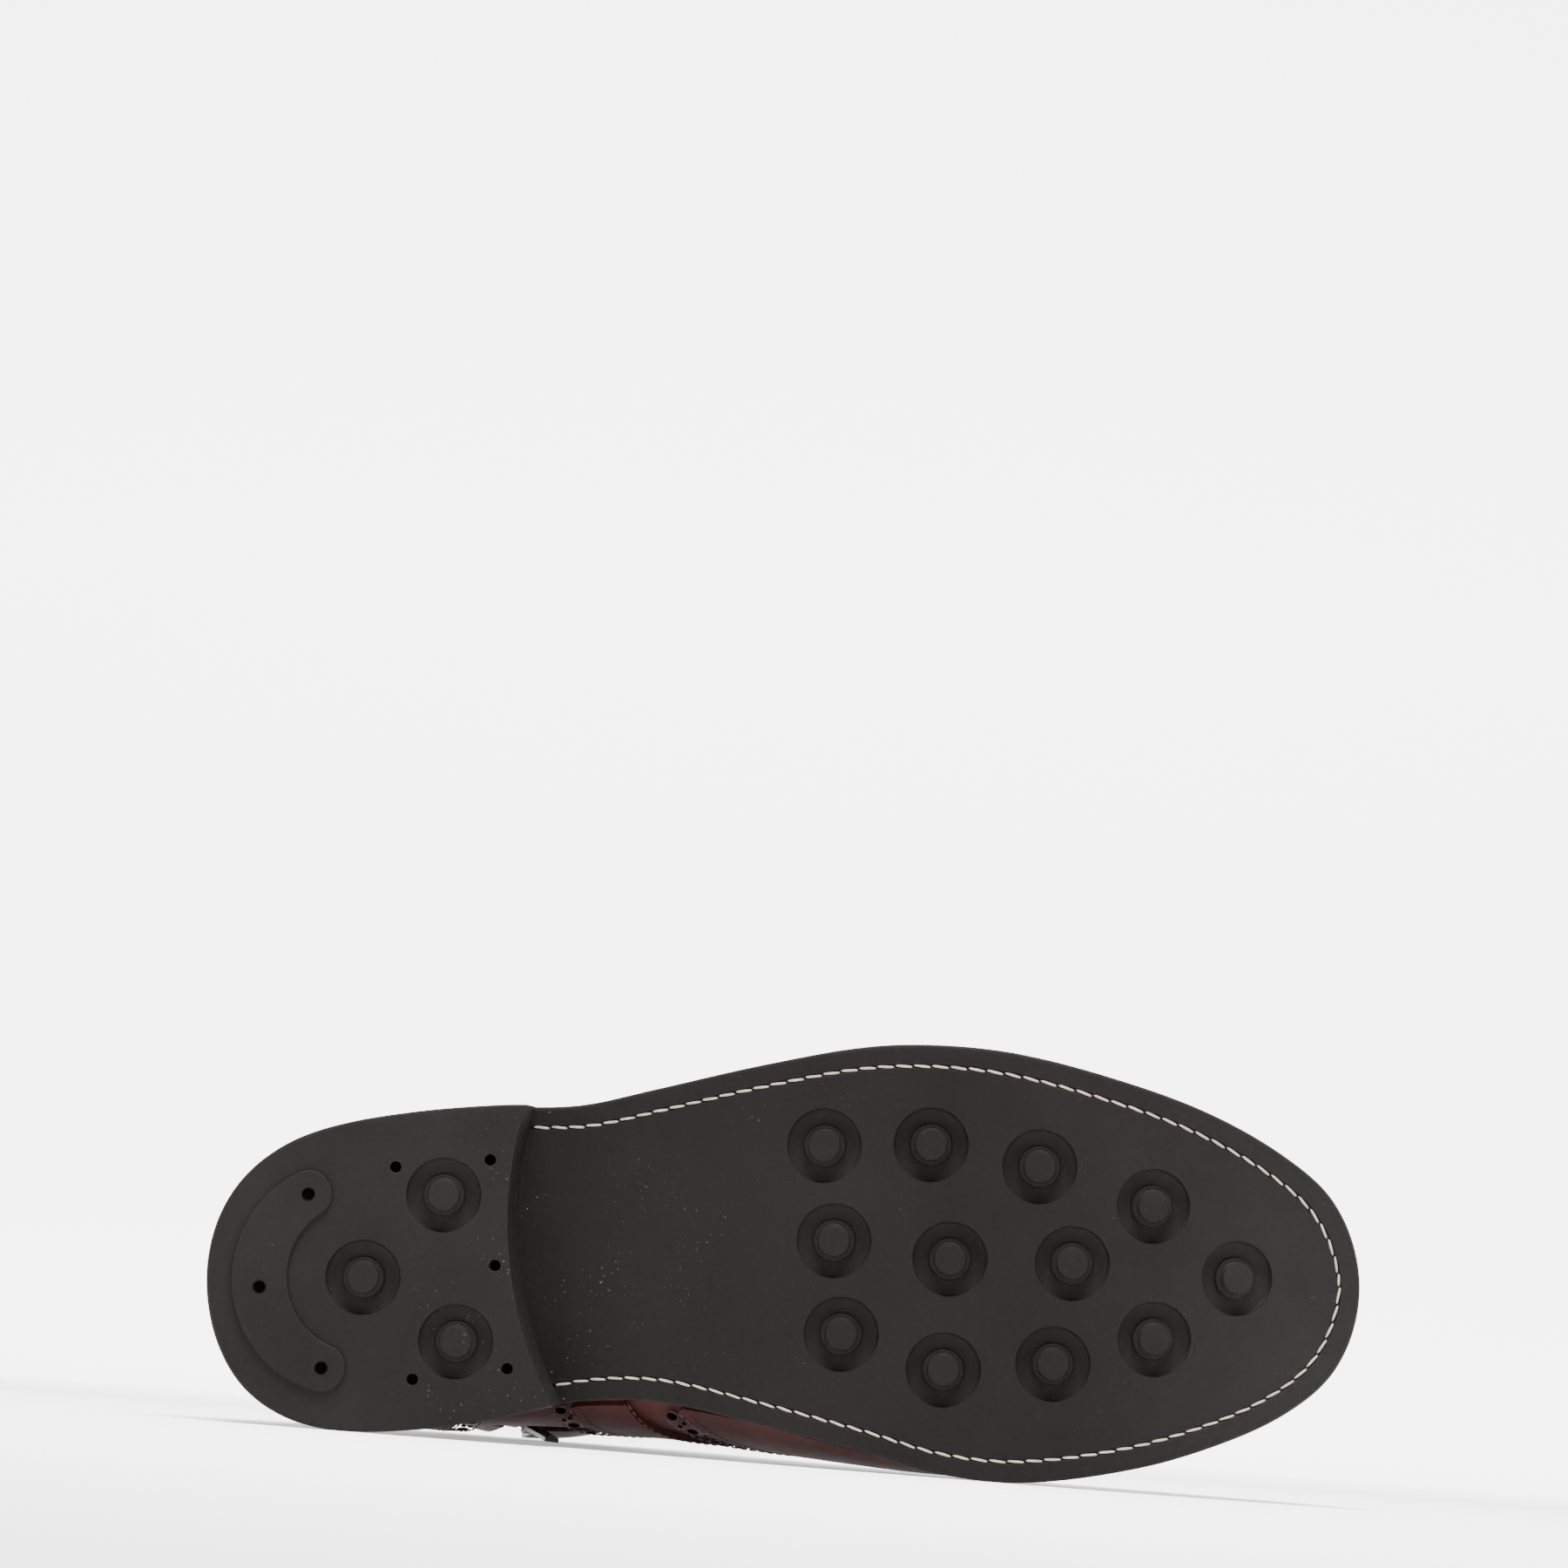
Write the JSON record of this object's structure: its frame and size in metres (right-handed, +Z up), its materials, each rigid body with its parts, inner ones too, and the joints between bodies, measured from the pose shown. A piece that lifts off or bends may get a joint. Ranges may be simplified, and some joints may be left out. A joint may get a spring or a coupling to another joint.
{
  "type": "brogue boot",
  "caption": "Right ankle boot with a wing-tip brogue upper, lacing, inner side zip and studded rubber sole, lying on its inner side.",
  "frame": {"origin": "centre of the bounding box on the floor that the boot lies on", "axes": "+X runs from heel to toe, +Y from the sole to the collar and +Z up from the floor, to the boot's outer side"},
  "size_m": [0.3046, 0.169, 0.1131],
  "materials": {
    "rubber": "matt, lightly worn",
    "leather": "burgundy, waxed",
    "dark_leather": "dark burgundy",
    "lining": "tan lining",
    "cord": "waxed round cord",
    "old_brass": "antique",
    "black_metal": "black coated",
    "tape": "woven"
  },
  "bodies": {
    "boot": {"outsole": "rubber", "heel": "rubber", "heel_tip": "rubber", "welt": "dark_leather", "insole": "lining", "upper": "leather", "wing_cap": "leather", "counter": "leather", "facing_medial": "leather", "facing_lateral": "leather", "collar_band": "leather", "collar_band_medial": "leather", "tongue": "dark_leather", "zip_tape": "tape", "zip_teeth": "black_metal", "zip_slider": "black_metal", "eyelet_medial_1": "old_brass", "eyelet_medial_2": "old_brass", "eyelet_medial_3": "old_brass", "eyelet_medial_4": "old_brass", "eyelet_medial_5": "old_brass", "eyelet_medial_6": "old_brass", "eyelet_lateral_1": "old_brass", "eyelet_lateral_2": "old_brass", "eyelet_lateral_3": "old_brass", "eyelet_lateral_4": "old_brass", "eyelet_lateral_5": "old_brass", "eyelet_lateral_6": "old_brass", "lace_bar_1": "cord", "lace_bar_2": "cord", "lace_bar_3": "cord", "lace_bar_4": "cord", "lace_bar_5": "cord", "lace_bar_6": "cord"},
    "pull": {"zip_pull": "black_metal"}
  },
  "joints": [
    {"name": "pull_hinge", "type": "hinge", "parent": "boot", "child": "pull", "pos_m": [-0.06979, 0.0327, 0.00435], "axis": [0.9561, 0.2872, -0.0582], "range_deg": [-12, 160]}
  ]
}
